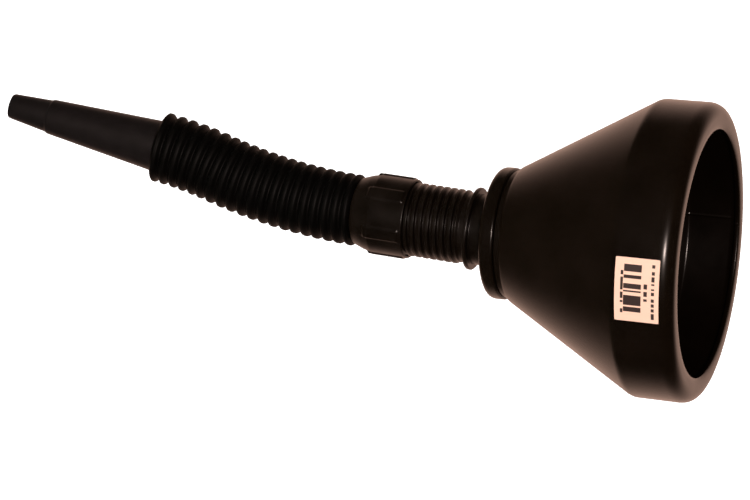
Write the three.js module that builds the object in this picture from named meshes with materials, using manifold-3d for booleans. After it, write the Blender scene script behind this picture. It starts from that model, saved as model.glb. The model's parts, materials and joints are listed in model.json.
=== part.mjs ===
// Fuel funnel with a flexible spout: bowl, push-in threaded neck, coupling nut, bellows hose and nozzle.
// Millimetres, +Z up. The origin is on the bowl's axis at the lower face of the outlet collar.
// The spout hangs below the collar. The hose is built as its single folds, so that it can bend.

import * as THREE from 'three';
import { mergeVertices } from 'three/addons/utils/BufferGeometryUtils.js';
import Module from 'manifold-3d';

const wasm = await Module();
wasm.setup();

// ---- Fits ----
const GAP = 0.3; // between pieces that rest against each other
const THREAD_GAP = 0.4; // from a thread's tip to the wall that it faces
const LEAN_CLEARANCE = 1.2; // lets the spigot lean in the collar's hole
const STRAINER_CLEARANCE = 0.4; // the strainer lifts out by hand
const FOLD_CLEARANCE = 0.9; // from a fold's inner edge to the cuff inside it
const EDGE_CHAMFER = 0.6; // on moulded edges

// ---- Bowl ----
const BOWL_RADIUS = 80; // widest, at the rim
const BOWL_WALL = 2;
const CONE_STEP_LOW = 1; // how far the cone's lower edge stands out past the collar
const SKIRT_FLARE = 0.1; // how much wider the skirt is at its top than at the cone
const CONE_BOTTOM = 12.4;
const CONE_HEIGHT = 74.4;
const SKIRT_HEIGHT = 23.2;
const RIM_ROLL_WIDTH = 8.1; // from the skirt inwards to the flat ring
const RIM_ROLL_HEIGHT = 8.3;
const RIM_FLAT_WIDTH = 1.6; // the narrow flat ring on top of the rim
const RIM_LIP_REACH = 4.2; // from the flat ring inwards to the lip's edge
const RIM_LIP_DROP = 0.9;
const RIM_LIP_EDGE = 1.9; // thickness of the lip's edge

// ---- Outlet: the stub under the cone and the collar pressed over it ----
const COLLAR_RADIUS = 36;
const COLLAR_HEIGHT = 8.6;
const COLLAR_WALL = 3;
const COLLAR_FLOOR = 1.4;
const COLLAR_ROUNDING = 3.2;
const STUB_SETBACK = 1.2; // the neck between cone and collar, measured in from the collar
const STUB_WALL = 1.4;
const STUB_SLEEVE_WALL = 3.2;
const OUTLET_FLOOR_TOP = 10.3;
const OUTLET_FLOOR_THICKNESS = 2;
const OUTLET_STEP = 1.3; // the outlet is this much wider, in radius, than the neck's bore
const SEAT_RAMP = 0.6; // the small slope above the strainer's seat
const GASKET_THICKNESS = 1.5;
const GASKET_STEP = 0.5; // from the outlet's edge to the gasket's

// ---- Strainer ----
const STRAINER_RING_HEIGHT = 4;
const STRAINER_RING_WALL = 3.1;
const STRAINER_LEDGE_WIDTH = 2.4;
const STRAINER_LEDGE_HEIGHT = 1;
const GAUZE_THICKNESS = 0.6;
const TAB_WIDTH = 9;
const TAB_THICKNESS = 1.8;
const TAB_HEIGHT = 11;
const TAB_EMBED = 0.8; // how deep the tab's foot is set into the ring

// ---- Threaded neck: stations are measured down the neck from the middle of its flange ----
const NECK_PIVOT_Z = 4;
const NECK_LEAN_X = 2.9; // degrees, the lower end towards -X
const NECK_LEAN_Y = 2.7; // degrees, the lower end towards -Y
const NECK_FLANGE_REACH = 2.6; // beyond the spigot
const NECK_FLANGE_THICKNESS = 1.4;
const SPIGOT_STEP = 0.4; // the spigot is this much thicker than the threaded part
const SPIGOT_LENGTH = 14.7;
const BEAD_REACH = 3.3; // beyond the spigot
const BEAD_WIDTH = 2.5;
const NECK_WALL = 2.8;
const NECK_LENGTH = 72;
const THREAD_ROOT_RADIUS = 19;
const THREAD_DEPTH = 1.4;
const THREAD_PITCH = 4.2;
const THREAD_CREST_WIDTH = 1;
const THREAD_BASE_WIDTH = 2.2;
const THREAD_EMBED = 0.8; // how deep a ridge's foot is set into its wall
const THREAD_START = 3.4; // from the bead to the middle of the first ridge
const THREAD_END_MARGIN = 1.9; // from the middle of the last ridge to the neck's end

// ---- Coupling nut ----
const NUT_ENGAGEMENT = 19.4; // how far the neck reaches into the nut when it is tight
const NUT_WALL = 1.1;
const NUT_STRAIGHT_LENGTH = 20.5;
const NUT_TAPER_LENGTH = 10.9;
const NUT_TAPER_DEPTH = 3.6; // how much the radius shrinks over the taper
const NUT_TAPER_SWELL = 0.62; // share of that depth still left at the taper's middle
const NUT_TAPER_MIDDLE = 0.45; // where the middle is, as a share of the taper's length
const NUT_THREAD_CREST_WIDTH = 0.8;
const NUT_THREAD_BASE_WIDTH = 1.8;
const NUT_THREAD_EMBED = 0.4;
const NUT_THREAD_TURNS = 3.5;
const LUG_COUNT = 6;
const LUG_RISE = 0.6; // above the nut's wall
const LUG_WIDTH = 7;
const LUG_CREST_SHARE = 0.55; // of the width that is left between the bevels
const LUG_EMBED = 0.8;
const LUG_LENGTH = 21.8;
const LUG_SETBACK = 0.8; // from the nut's upper end
const LUG_PHASE = 0; // degrees

// ---- Seal and upper cuff of the hose ----
const WASHER_THICKNESS = 1.5;
const CUFF_FLANGE_THICKNESS = 2.2;
const CUFF_WALL = 1.5;

// ---- Bellows hose ----
const FOLD_COUNT = 20;
const FOLD_PITCH = 6.17;
const FOLD_DEPTH = 3.1;
const FOLD_WIDTH = 2.6;
const FOLD_CREST_WIDTH = 1;
const FOLD_FLANK = 1.3; // radial height of the sloped flank
const FIRST_FOLD_GAP = 2.5; // from the nut's end to the middle of the first fold
const BEND_NEAR_NUT = 2.2; // degrees at each sideways joint of the upper part, at rest
const BEND_NEAR_NOZZLE = -2.9; // degrees at each sideways joint of the lower part, at rest
const UPPER_BEND_JOINTS = 13; // joints that belong to the upper part
const BEND_FORWARD = -1.1; // degrees at each forward joint, at rest

// ---- Nozzle ----
const NOZZLE_LENGTH = 89.5;
const NOZZLE_WALL = 1.8;
const NOZZLE_BASE_RADIUS = 14.6;
const NOZZLE_STEP_RADIUS = 9.9;
const NOZZLE_TIP_STEP_RADIUS = 9.2;
const NOZZLE_TIP_LENGTH = 23.4;
const NOZZLE_TIP_RADIUS = 7;
const NOZZLE_TIP_ROUNDING = 1.6;
const NOZZLE_STEP_HEIGHT = 1;
const NOZZLE_TAIL_LENGTH = 5;
const END_CUFF_WALL = 3.3;

// ---- Label ----
const LABEL_MARGIN = 0.2; // the label is this much narrower than the skirt
const LABEL_RISE = 1.8; // from the cone's top edge to the label
const LABEL_ANGLE_START = 4.8; // degrees round from -Y towards +X
const LABEL_ANGLE_SPAN = 24;
const LABEL_THICKNESS = 0.4;

// ---- Fineness ----
const BOWL_SEGMENTS = 40;
const SPOUT_SEGMENTS = 20;

const DEG = Math.PI / 180;

const COLOURS = {
  shell: { color: 0x17120f, roughness: 0.38, metalness: 0 },
  neck: { color: 0x191512, roughness: 0.42, metalness: 0 },
  hose: { color: 0x100e0d, roughness: 0.6, metalness: 0 },
  nozzle: { color: 0x1e1a18, roughness: 0.5, metalness: 0 },
  rubber: { color: 0x0b0b0b, roughness: 0.8, metalness: 0 },
  strainer: { color: 0x191512, roughness: 0.45, metalness: 0 },
  brass: { color: 0xb08d4a, roughness: 0.35, metalness: 1 },
  paper: { color: 0xd9cfc8, roughness: 0.7, metalness: 0 },
};

// A point of a lathe outline: distance from the axis, height.
const at = (radius, height) => new THREE.Vector2(radius, height);

// Points along an elliptical arc in the outline plane. Angles are in degrees from the radial direction.
function arc(centreRadius, centreHeight, halfWidth, halfHeight, from, to, steps) {
  const points = [];
  for (let i = 0; i <= steps; i += 1) {
    const angle = (from + ((to - from) * i) / steps) * DEG;
    points.push(at(centreRadius + halfWidth * Math.cos(angle), centreHeight + halfHeight * Math.sin(angle)));
  }
  return points;
}

// Turns an outline, listed with its outside on the right when it goes up, into a ring about Z.
function turned(outline, segments) {
  const closed = [...outline, outline[0].clone()];
  const geometry = new THREE.LatheGeometry(closed, segments);
  geometry.rotateX(Math.PI / 2);
  return geometry;
}

// A plain tube wall about Z.
function tubeWall(innerRadius, outerRadius, bottom, top, segments) {
  const outline = [at(innerRadius, bottom), at(outerRadius, bottom), at(outerRadius, top), at(innerRadius, top)];
  return turned(outline, segments);
}

// ---- Joining solids ----
function toSolid(geometry) {
  const plain = geometry.clone();
  plain.deleteAttribute('normal');
  plain.deleteAttribute('uv');
  const merged = mergeVertices(plain, 1e-4);
  const vertProperties = new Float32Array(merged.attributes.position.array);
  const triVerts = new Uint32Array(merged.index.array);
  return new wasm.Manifold(new wasm.Mesh({ numProp: 3, vertProperties, triVerts }));
}

function toGeometry(solid) {
  const mesh = solid.getMesh();
  const geometry = new THREE.BufferGeometry();
  geometry.setAttribute('position', new THREE.BufferAttribute(new Float32Array(mesh.vertProperties), 3));
  geometry.setIndex(new THREE.BufferAttribute(new Uint32Array(mesh.triVerts), 1));
  geometry.computeVertexNormals();
  return geometry;
}

function joined(first, ...others) {
  let solid = toSolid(first);
  for (const other of others) solid = solid.add(toSolid(other));
  return toGeometry(solid);
}

// A right-hand thread ridge: a straight bar wound up a helix. It stands on rootRadius and reaches tipRadius,
// starts at height startZ and angle 0, and fades into its wall over the last quarter turn at both ends.
function threadRidge(rootRadius, tipRadius, baseWidth, tipWidth, startZ, turns, embed) {
  const outward = Math.sign(tipRadius - rootRadius);
  const height = Math.abs(tipRadius - rootRadius);
  const section = new THREE.Shape();
  const footWidth = baseWidth + ((baseWidth - tipWidth) * embed) / height;
  section.moveTo(-embed, -footWidth / 2);
  section.lineTo(height, -tipWidth / 2);
  section.lineTo(height, tipWidth / 2);
  section.lineTo(-embed, footWidth / 2);
  const sweep = turns * Math.PI * 2;
  const steps = Math.round(turns * SPOUT_SEGMENTS);
  const geometry = new THREE.ExtrudeGeometry(section, { depth: sweep, steps, bevelEnabled: false });
  const fade = Math.PI / 2;
  const position = geometry.attributes.position;
  for (let i = 0; i < position.count; i += 1) {
    const angle = position.getZ(i);
    const strength = Math.min(1, angle / fade, (sweep - angle) / fade);
    const rise = position.getX(i) > 0 ? height * strength - embed * 0.5 * (1 - strength) : -embed;
    const radius = rootRadius + outward * rise;
    const z = startZ - outward * position.getY(i) + (THREAD_PITCH * angle) / (Math.PI * 2);
    position.setXYZ(i, radius * Math.cos(angle), radius * Math.sin(angle), z);
  }
  return geometry;
}

// ---- Radii that follow from the sizes above ----
const threadCrestRadius = THREAD_ROOT_RADIUS + THREAD_DEPTH;
const neckBoreRadius = THREAD_ROOT_RADIUS - NECK_WALL;
const spigotRadius = THREAD_ROOT_RADIUS + SPIGOT_STEP;
const outletRadius = neckBoreRadius + OUTLET_STEP;
const stubRadius = COLLAR_RADIUS - STUB_SETBACK;
const strainerSeatRadius = stubRadius - STUB_WALL;
const nutWallRadius = threadCrestRadius + THREAD_GAP;
const nutRadius = nutWallRadius + NUT_WALL;
const washerRadius = THREAD_ROOT_RADIUS - GAP;
const cuffRadius = neckBoreRadius - GAP;
const foldRadius = cuffRadius + FOLD_CLEARANCE + FOLD_DEPTH;
const nozzleTailRadius = cuffRadius - END_CUFF_WALL - GAP;

// ---- Bowl ----
const coneRadiusLow = COLLAR_RADIUS + CONE_STEP_LOW;
const coneRadiusHigh = BOWL_RADIUS - SKIRT_FLARE;
const coneTop = CONE_BOTTOM + CONE_HEIGHT;
const skirtTop = coneTop + SKIRT_HEIGHT;
const rimTop = skirtTop + RIM_ROLL_HEIGHT;
const flatOuterRadius = BOWL_RADIUS - RIM_ROLL_WIDTH;
const flatInnerRadius = flatOuterRadius - RIM_FLAT_WIDTH;
const lipRadius = flatInnerRadius - RIM_LIP_REACH;
const coneSlope = (coneRadiusHigh - coneRadiusLow) / CONE_HEIGHT;
const coneWallAcross = BOWL_WALL * Math.hypot(1, coneSlope); // the cone's wall, measured level
const outletFloorBottom = OUTLET_FLOOR_TOP - OUTLET_FLOOR_THICKNESS;
const stubSleeveRadius = COLLAR_RADIUS - COLLAR_WALL - GAP;
const stubSleeveInner = stubSleeveRadius - STUB_SLEEVE_WALL;

function bowlGeometry() {
  const rise = arc(flatOuterRadius, skirtTop, RIM_ROLL_WIDTH, RIM_ROLL_HEIGHT, 0, 90, 5);
  const lip = arc(flatInnerRadius, rimTop - RIM_LIP_DROP, RIM_LIP_REACH, RIM_LIP_DROP, 90, 180, 3);
  const innerWidth = RIM_ROLL_WIDTH - BOWL_WALL;
  const innerHeight = RIM_ROLL_HEIGHT - BOWL_WALL;
  const inner = arc(flatOuterRadius, skirtTop, innerWidth, innerHeight, 90, 0, 4);
  const outline = [
    at(outletRadius, outletFloorBottom),
    at(stubSleeveInner, outletFloorBottom),
    at(stubSleeveInner, COLLAR_FLOOR + GAP),
    at(stubSleeveRadius, COLLAR_FLOOR + GAP),
    at(stubSleeveRadius, COLLAR_HEIGHT + GAP),
    at(stubRadius, COLLAR_HEIGHT + GAP),
    at(stubRadius, CONE_BOTTOM - SEAT_RAMP),
    at(coneRadiusLow, CONE_BOTTOM),
    at(coneRadiusHigh, coneTop),
    ...rise,
    ...lip,
    at(lipRadius, rimTop - RIM_LIP_DROP - RIM_LIP_EDGE),
    ...inner,
    at(coneRadiusHigh - BOWL_WALL, coneTop),
    at(coneRadiusLow - coneWallAcross + coneSlope * SEAT_RAMP, CONE_BOTTOM + SEAT_RAMP),
    at(strainerSeatRadius, OUTLET_FLOOR_TOP + SEAT_RAMP),
    at(strainerSeatRadius, OUTLET_FLOOR_TOP),
    at(outletRadius, OUTLET_FLOOR_TOP),
  ];
  return turned(outline, BOWL_SEGMENTS);
}

// The collar is a cup pressed over the bowl's outlet sleeve. Its hole clears the leaning spigot.
function collarGeometry() {
  const holeRadius = spigotRadius + LEAN_CLEARANCE;
  const rounding = COLLAR_ROUNDING;
  const outline = [
    at(holeRadius, 0),
    ...arc(COLLAR_RADIUS - rounding, rounding, rounding, rounding, -90, 0, 4),
    at(COLLAR_RADIUS, COLLAR_HEIGHT - EDGE_CHAMFER),
    at(COLLAR_RADIUS - EDGE_CHAMFER, COLLAR_HEIGHT),
    at(COLLAR_RADIUS - COLLAR_WALL, COLLAR_HEIGHT),
    at(COLLAR_RADIUS - COLLAR_WALL, COLLAR_FLOOR),
    at(holeRadius, COLLAR_FLOOR),
  ];
  return turned(outline, BOWL_SEGMENTS);
}

function gasketGeometry() {
  const outer = stubSleeveInner - 2 * GAP;
  const top = outletFloorBottom - GAP;
  return tubeWall(outletRadius + GASKET_STEP, outer, top - GASKET_THICKNESS, top, BOWL_SEGMENTS);
}

// ---- Strainer: a ring with an inner ledge, a gauze disc lying on the ledge, and a lifting tab ----
const strainerBottom = OUTLET_FLOOR_TOP + GAP;
const strainerRadius = strainerSeatRadius - STRAINER_CLEARANCE;
const strainerInner = strainerRadius - STRAINER_RING_WALL;

function strainerRingGeometry() {
  const top = strainerBottom + STRAINER_RING_HEIGHT;
  const ledgeTop = strainerBottom + STRAINER_LEDGE_HEIGHT;
  const outline = [
    at(strainerInner - STRAINER_LEDGE_WIDTH, strainerBottom),
    at(strainerRadius, strainerBottom),
    at(strainerRadius, top),
    at(strainerInner, top),
    at(strainerInner, ledgeTop),
    at(strainerInner - STRAINER_LEDGE_WIDTH, ledgeTop),
  ];
  const ring = turned(outline, BOWL_SEGMENTS);
  const tabShape = new THREE.Shape();
  const half = TAB_WIDTH / 2;
  tabShape.moveTo(-half, 0);
  tabShape.lineTo(half, 0);
  tabShape.lineTo(half, TAB_HEIGHT - half);
  tabShape.absarc(0, TAB_HEIGHT - half, half, 0, Math.PI, false);
  tabShape.lineTo(-half, 0);
  const tab = new THREE.ExtrudeGeometry(tabShape, { depth: TAB_THICKNESS, bevelEnabled: false, curveSegments: 8 });
  tab.rotateX(Math.PI / 2);
  tab.translate(0, strainerInner + TAB_THICKNESS + TAB_EMBED, top - TAB_EMBED);
  return joined(ring, tab);
}

function gauzeGeometry() {
  const radius = strainerInner - GAP;
  const bottom = strainerBottom + STRAINER_LEDGE_HEIGHT + GAP;
  const disc = new THREE.CylinderGeometry(radius, radius, GAUZE_THICKNESS, BOWL_SEGMENTS);
  disc.rotateX(Math.PI / 2);
  disc.translate(0, 0, bottom + GAUZE_THICKNESS / 2);
  return disc;
}

// ---- Neck. Its own frame has the flange's middle at the origin, and stations run down -Z. ----
const beadTopStation = NECK_FLANGE_THICKNESS / 2 + SPIGOT_LENGTH;
const beadBottomStation = beadTopStation + BEAD_WIDTH;
const threadTopStation = beadBottomStation + THREAD_START;
const threadBottomStation = NECK_LENGTH - THREAD_END_MARGIN;

function neckGeometry() {
  const flangeRadius = spigotRadius + NECK_FLANGE_REACH;
  const beadRadius = spigotRadius + BEAD_REACH;
  const outline = [
    at(neckBoreRadius, -NECK_LENGTH),
    at(THREAD_ROOT_RADIUS, -NECK_LENGTH),
    at(THREAD_ROOT_RADIUS, -beadBottomStation),
    at(beadRadius - EDGE_CHAMFER, -beadBottomStation),
    at(beadRadius, -beadBottomStation + EDGE_CHAMFER),
    at(beadRadius, -beadTopStation - EDGE_CHAMFER),
    at(beadRadius - EDGE_CHAMFER, -beadTopStation),
    at(spigotRadius, -beadTopStation),
    at(spigotRadius, -NECK_FLANGE_THICKNESS / 2),
    at(flangeRadius, -NECK_FLANGE_THICKNESS / 2),
    at(flangeRadius, NECK_FLANGE_THICKNESS / 2),
    at(neckBoreRadius, NECK_FLANGE_THICKNESS / 2),
  ];
  const body = turned(outline, SPOUT_SEGMENTS);
  const turns = (threadBottomStation - threadTopStation) / THREAD_PITCH;
  const ridge = threadRidge(
    THREAD_ROOT_RADIUS,
    threadCrestRadius,
    THREAD_BASE_WIDTH,
    THREAD_CREST_WIDTH,
    -threadBottomStation,
    turns,
    THREAD_EMBED,
  );
  return joined(body, ridge);
}

// ---- Coupling nut, in the neck's frame ----
const nutTopStation = NECK_LENGTH - NUT_ENGAGEMENT;
const nutEndStation = nutTopStation + NUT_STRAIGHT_LENGTH + NUT_TAPER_LENGTH;
const washerTopStation = NECK_LENGTH + GAP;
const cuffTopStation = washerTopStation + WASHER_THICKNESS + GAP;
const cuffFlangeEndStation = cuffTopStation + CUFF_FLANGE_THICKNESS;
const nutShoulderStation = cuffFlangeEndStation + GAP;
const firstFoldStation = nutEndStation + FIRST_FOLD_GAP;

function nutGeometry() {
  const taperTop = nutTopStation + NUT_STRAIGHT_LENGTH;
  const endRadius = nutRadius - NUT_TAPER_DEPTH;
  const middleRadius = endRadius + NUT_TAPER_DEPTH * NUT_TAPER_SWELL;
  const outline = [
    at(cuffRadius + GAP, -nutEndStation),
    at(endRadius - EDGE_CHAMFER, -nutEndStation),
    at(endRadius, -nutEndStation + EDGE_CHAMFER),
    at(middleRadius, -(taperTop + NUT_TAPER_LENGTH * NUT_TAPER_MIDDLE)),
    at(nutRadius, -taperTop),
    at(nutRadius, -nutTopStation),
    at(nutWallRadius, -nutTopStation),
    at(nutWallRadius, -NECK_LENGTH),
    at(washerRadius + GAP, -NECK_LENGTH - GAP),
    at(washerRadius + GAP, -nutShoulderStation),
    at(cuffRadius + GAP, -nutShoulderStation),
  ];
  const body = turned(outline, SPOUT_SEGMENTS);
  const ridge = threadRidge(
    nutWallRadius,
    THREAD_ROOT_RADIUS + THREAD_GAP,
    NUT_THREAD_BASE_WIDTH,
    NUT_THREAD_CREST_WIDTH,
    -threadBottomStation + THREAD_PITCH / 2,
    NUT_THREAD_TURNS,
    NUT_THREAD_EMBED,
  );
  const lugs = [];
  for (let i = 0; i < LUG_COUNT; i += 1) {
    lugs.push(lugGeometry((LUG_PHASE + (360 * i) / LUG_COUNT) * DEG));
  }
  return joined(body, ridge, ...lugs);
}

// A grip lug: a low bar along the nut, with sloping sides. It starts inside the nut's wall.
function lugGeometry(angle) {
  const half = LUG_WIDTH / 2;
  const foot = nutRadius - LUG_EMBED;
  const crest = nutRadius + LUG_RISE;
  const section = new THREE.Shape();
  section.moveTo(foot, -half);
  section.lineTo(nutRadius, -half);
  section.lineTo(crest, -half * LUG_CREST_SHARE);
  section.lineTo(crest, half * LUG_CREST_SHARE);
  section.lineTo(nutRadius, half);
  section.lineTo(foot, half);
  const lug = new THREE.ExtrudeGeometry(section, { depth: LUG_LENGTH, bevelEnabled: false });
  lug.translate(0, 0, -nutTopStation - LUG_SETBACK - LUG_LENGTH);
  lug.rotateZ(angle);
  return lug;
}

function washerGeometry() {
  const bottom = -washerTopStation - WASHER_THICKNESS;
  return tubeWall(neckBoreRadius + GAP, washerRadius, bottom, -washerTopStation, SPOUT_SEGMENTS);
}

// The hose's upper cuff: a flange held by the nut and a sleeve that carries the first fold.
function topCuffGeometry() {
  const bore = cuffRadius - CUFF_WALL;
  const end = firstFoldStation + FOLD_WIDTH / 2;
  const outline = [
    at(bore, -end),
    at(cuffRadius, -end),
    at(cuffRadius, -cuffFlangeEndStation),
    at(washerRadius, -cuffFlangeEndStation),
    at(washerRadius, -cuffTopStation),
    at(bore, -cuffTopStation),
  ];
  return turned(outline, SPOUT_SEGMENTS);
}

// ---- Hose folds: each has its own frame at the fold's middle, +Z up the hose ----
function foldGeometry() {
  const half = FOLD_WIDTH / 2;
  const crest = FOLD_CREST_WIDTH / 2;
  const outline = [
    at(foldRadius - FOLD_DEPTH, -half),
    at(foldRadius - FOLD_FLANK, -half),
    at(foldRadius, -crest),
    at(foldRadius, crest),
    at(foldRadius - FOLD_FLANK, half),
    at(foldRadius - FOLD_DEPTH, half),
  ];
  return turned(outline, SPOUT_SEGMENTS);
}

// The hose's lower cuff, inside the last fold. The nozzle's tail is pushed into it.
function endCuffGeometry() {
  const half = FOLD_WIDTH / 2;
  return tubeWall(nozzleTailRadius + GAP, cuffRadius, -half, half, SPOUT_SEGMENTS);
}

// ---- Nozzle, in the last fold's frame ----
function nozzleGeometry() {
  const shoulder = -(FOLD_WIDTH / 2) - GAP;
  const tip = shoulder - NOZZLE_LENGTH;
  const step = tip + NOZZLE_TIP_LENGTH;
  const tailTop = shoulder + NOZZLE_TAIL_LENGTH;
  const round = NOZZLE_TIP_ROUNDING;
  const outline = [
    at(NOZZLE_TIP_RADIUS - NOZZLE_WALL, tip),
    ...arc(NOZZLE_TIP_RADIUS - round, tip + round, round, round, -90, 0, 3),
    at(NOZZLE_TIP_STEP_RADIUS, step - NOZZLE_STEP_HEIGHT / 2),
    at(NOZZLE_STEP_RADIUS, step + NOZZLE_STEP_HEIGHT / 2),
    at(NOZZLE_BASE_RADIUS, shoulder - EDGE_CHAMFER),
    at(NOZZLE_BASE_RADIUS - EDGE_CHAMFER, shoulder),
    at(nozzleTailRadius, shoulder),
    at(nozzleTailRadius, tailTop - EDGE_CHAMFER),
    at(nozzleTailRadius - EDGE_CHAMFER, tailTop),
    at(nozzleTailRadius - NOZZLE_WALL, tailTop),
    at(nozzleTailRadius - NOZZLE_WALL, shoulder),
    at(NOZZLE_STEP_RADIUS - NOZZLE_WALL, step + NOZZLE_STEP_HEIGHT),
    at(NOZZLE_TIP_STEP_RADIUS - NOZZLE_WALL, step - NOZZLE_STEP_HEIGHT / 2),
  ];
  return turned(outline, SPOUT_SEGMENTS);
}

// ---- Label: a thin curved patch on the skirt ----
function labelGeometry() {
  const inner = BOWL_RADIUS + GAP;
  const outer = inner + LABEL_THICKNESS;
  const from = (LABEL_ANGLE_START - 90) * DEG;
  const to = from + LABEL_ANGLE_SPAN * DEG;
  const shape = new THREE.Shape();
  shape.absarc(0, 0, outer, from, to, false);
  shape.absarc(0, 0, inner, to, from, true);
  const depth = SKIRT_HEIGHT - LABEL_MARGIN;
  const patch = new THREE.ExtrudeGeometry(shape, { depth, bevelEnabled: false, curveSegments: 8 });
  patch.translate(0, 0, coneTop + LABEL_RISE);
  return patch;
}

// ---- Assembly ----
function piece(name, geometry, finish) {
  const mesh = new THREE.Mesh(geometry, new THREE.MeshStandardMaterial(COLOURS[finish]));
  mesh.name = name;
  return mesh;
}

// Hangs the folds in a chain. Odd joints bend sideways, about Y, and even joints bend forwards, about X.
function hoseChain(top) {
  let last = top;
  for (let i = 1; i <= FOLD_COUNT; i += 1) {
    if (i > 1) {
      const joint = i - 1;
      const pivot = new THREE.Group();
      pivot.position.z = -FOLD_PITCH / 2;
      if (joint % 2 === 1) pivot.rotation.y = (joint <= UPPER_BEND_JOINTS ? BEND_NEAR_NUT : BEND_NEAR_NOZZLE) * DEG;
      else pivot.rotation.x = BEND_FORWARD * DEG;
      const next = new THREE.Group();
      next.position.z = -FOLD_PITCH / 2;
      pivot.add(next);
      last.add(pivot);
      last = next;
    }
    last.add(piece(`hose_fold_${String(i).padStart(2, '0')}`, foldGeometry(), 'hose'));
  }
  last.add(piece('hose_end_cuff', endCuffGeometry(), 'hose'));
  last.add(piece('nozzle', nozzleGeometry(), 'nozzle'));
}

function buildFunnel() {
  const funnel = new THREE.Group();
  funnel.add(piece('bowl', bowlGeometry(), 'shell'));
  funnel.add(piece('outlet_collar', collarGeometry(), 'shell'));
  funnel.add(piece('neck_gasket', gasketGeometry(), 'rubber'));
  funnel.add(piece('strainer_ring', strainerRingGeometry(), 'strainer'));
  funnel.add(piece('strainer_gauze', gauzeGeometry(), 'brass'));
  funnel.add(piece('size_label', labelGeometry(), 'paper'));

  const neck = new THREE.Group();
  neck.position.z = NECK_PIVOT_Z;
  neck.rotation.set(-NECK_LEAN_Y * DEG, NECK_LEAN_X * DEG, 0);
  neck.add(piece('threaded_neck', neckGeometry(), 'neck'));
  neck.add(piece('coupling_nut', nutGeometry(), 'neck'));
  neck.add(piece('sealing_washer', washerGeometry(), 'rubber'));
  neck.add(piece('hose_top_cuff', topCuffGeometry(), 'hose'));

  const hoseTop = new THREE.Group();
  hoseTop.position.z = -firstFoldStation;
  hoseChain(hoseTop);
  neck.add(hoseTop);
  funnel.add(neck);
  return funnel;
}

export default buildFunnel();
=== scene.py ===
import json
import math

import bpy
import numpy as np
from mathutils import Matrix, Vector


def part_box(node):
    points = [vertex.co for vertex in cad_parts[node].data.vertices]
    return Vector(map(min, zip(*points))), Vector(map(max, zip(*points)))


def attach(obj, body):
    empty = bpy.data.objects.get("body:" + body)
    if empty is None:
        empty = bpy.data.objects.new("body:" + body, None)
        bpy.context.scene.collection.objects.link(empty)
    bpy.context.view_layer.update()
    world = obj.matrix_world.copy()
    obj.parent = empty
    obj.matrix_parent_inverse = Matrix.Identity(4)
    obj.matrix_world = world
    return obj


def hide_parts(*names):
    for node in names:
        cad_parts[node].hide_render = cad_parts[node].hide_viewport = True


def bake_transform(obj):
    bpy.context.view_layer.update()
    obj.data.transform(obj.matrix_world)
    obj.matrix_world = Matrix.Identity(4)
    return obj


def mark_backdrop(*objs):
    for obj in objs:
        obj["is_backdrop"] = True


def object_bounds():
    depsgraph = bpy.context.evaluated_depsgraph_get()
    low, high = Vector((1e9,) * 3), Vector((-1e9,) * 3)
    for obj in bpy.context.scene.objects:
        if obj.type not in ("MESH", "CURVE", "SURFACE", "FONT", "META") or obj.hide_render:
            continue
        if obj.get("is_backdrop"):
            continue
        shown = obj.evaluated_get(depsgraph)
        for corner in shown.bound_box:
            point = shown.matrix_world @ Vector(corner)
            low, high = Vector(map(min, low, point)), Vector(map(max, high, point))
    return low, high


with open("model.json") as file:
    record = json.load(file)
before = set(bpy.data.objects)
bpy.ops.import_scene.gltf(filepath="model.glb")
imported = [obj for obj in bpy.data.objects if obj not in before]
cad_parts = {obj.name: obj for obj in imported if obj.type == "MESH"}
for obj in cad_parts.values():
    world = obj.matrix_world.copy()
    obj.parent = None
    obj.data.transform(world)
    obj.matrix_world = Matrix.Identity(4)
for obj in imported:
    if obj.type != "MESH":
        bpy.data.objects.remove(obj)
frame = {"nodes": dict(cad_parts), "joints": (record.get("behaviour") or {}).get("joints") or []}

bl_info = {
    "name": "Filling Funnel",
    "version": (1, 0, 0),
    "blender": (4, 5, 0),
    "location": "3D View > Sidebar > Funnel",
    "description": "Builds a plastic filling funnel with a flexible spout, its finishes and its studio",
    "category": "Object",
}

MM = 0.001
JOINTS = {joint["name"]: joint for joint in frame["joints"]}
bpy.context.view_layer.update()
BOWL_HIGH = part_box("bowl")[1]
RIM_TOP = BOWL_HIGH.z / MM
BOWL_RADIUS = BOWL_HIGH.x / MM
COLLAR_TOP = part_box("outlet_collar")[1].z / MM
FOLDS = sorted(name for name in frame["nodes"] if name.startswith("hose_fold_"))

# All lengths below are in mm. Stations run down the neck's axis from its seat. The nut's joint lies at the
# nut's upper edge, NUT_TOP down the neck.
NUT_TOP = 52.6
CREST_RADIUS = 19.9
CORNER_STEPS = 6


# ---- Shapes ----

def frame_axes(z_axis, x_hint):
    """Three unit columns x, y, z: z as given, x the hint made square to z, and y = z cross x."""
    z = np.array(z_axis, float) / np.linalg.norm(z_axis)
    x = np.array(x_hint, float) - np.dot(x_hint, z) * z
    x /= np.linalg.norm(x)
    return np.column_stack([x, np.cross(z, x), z])


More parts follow.
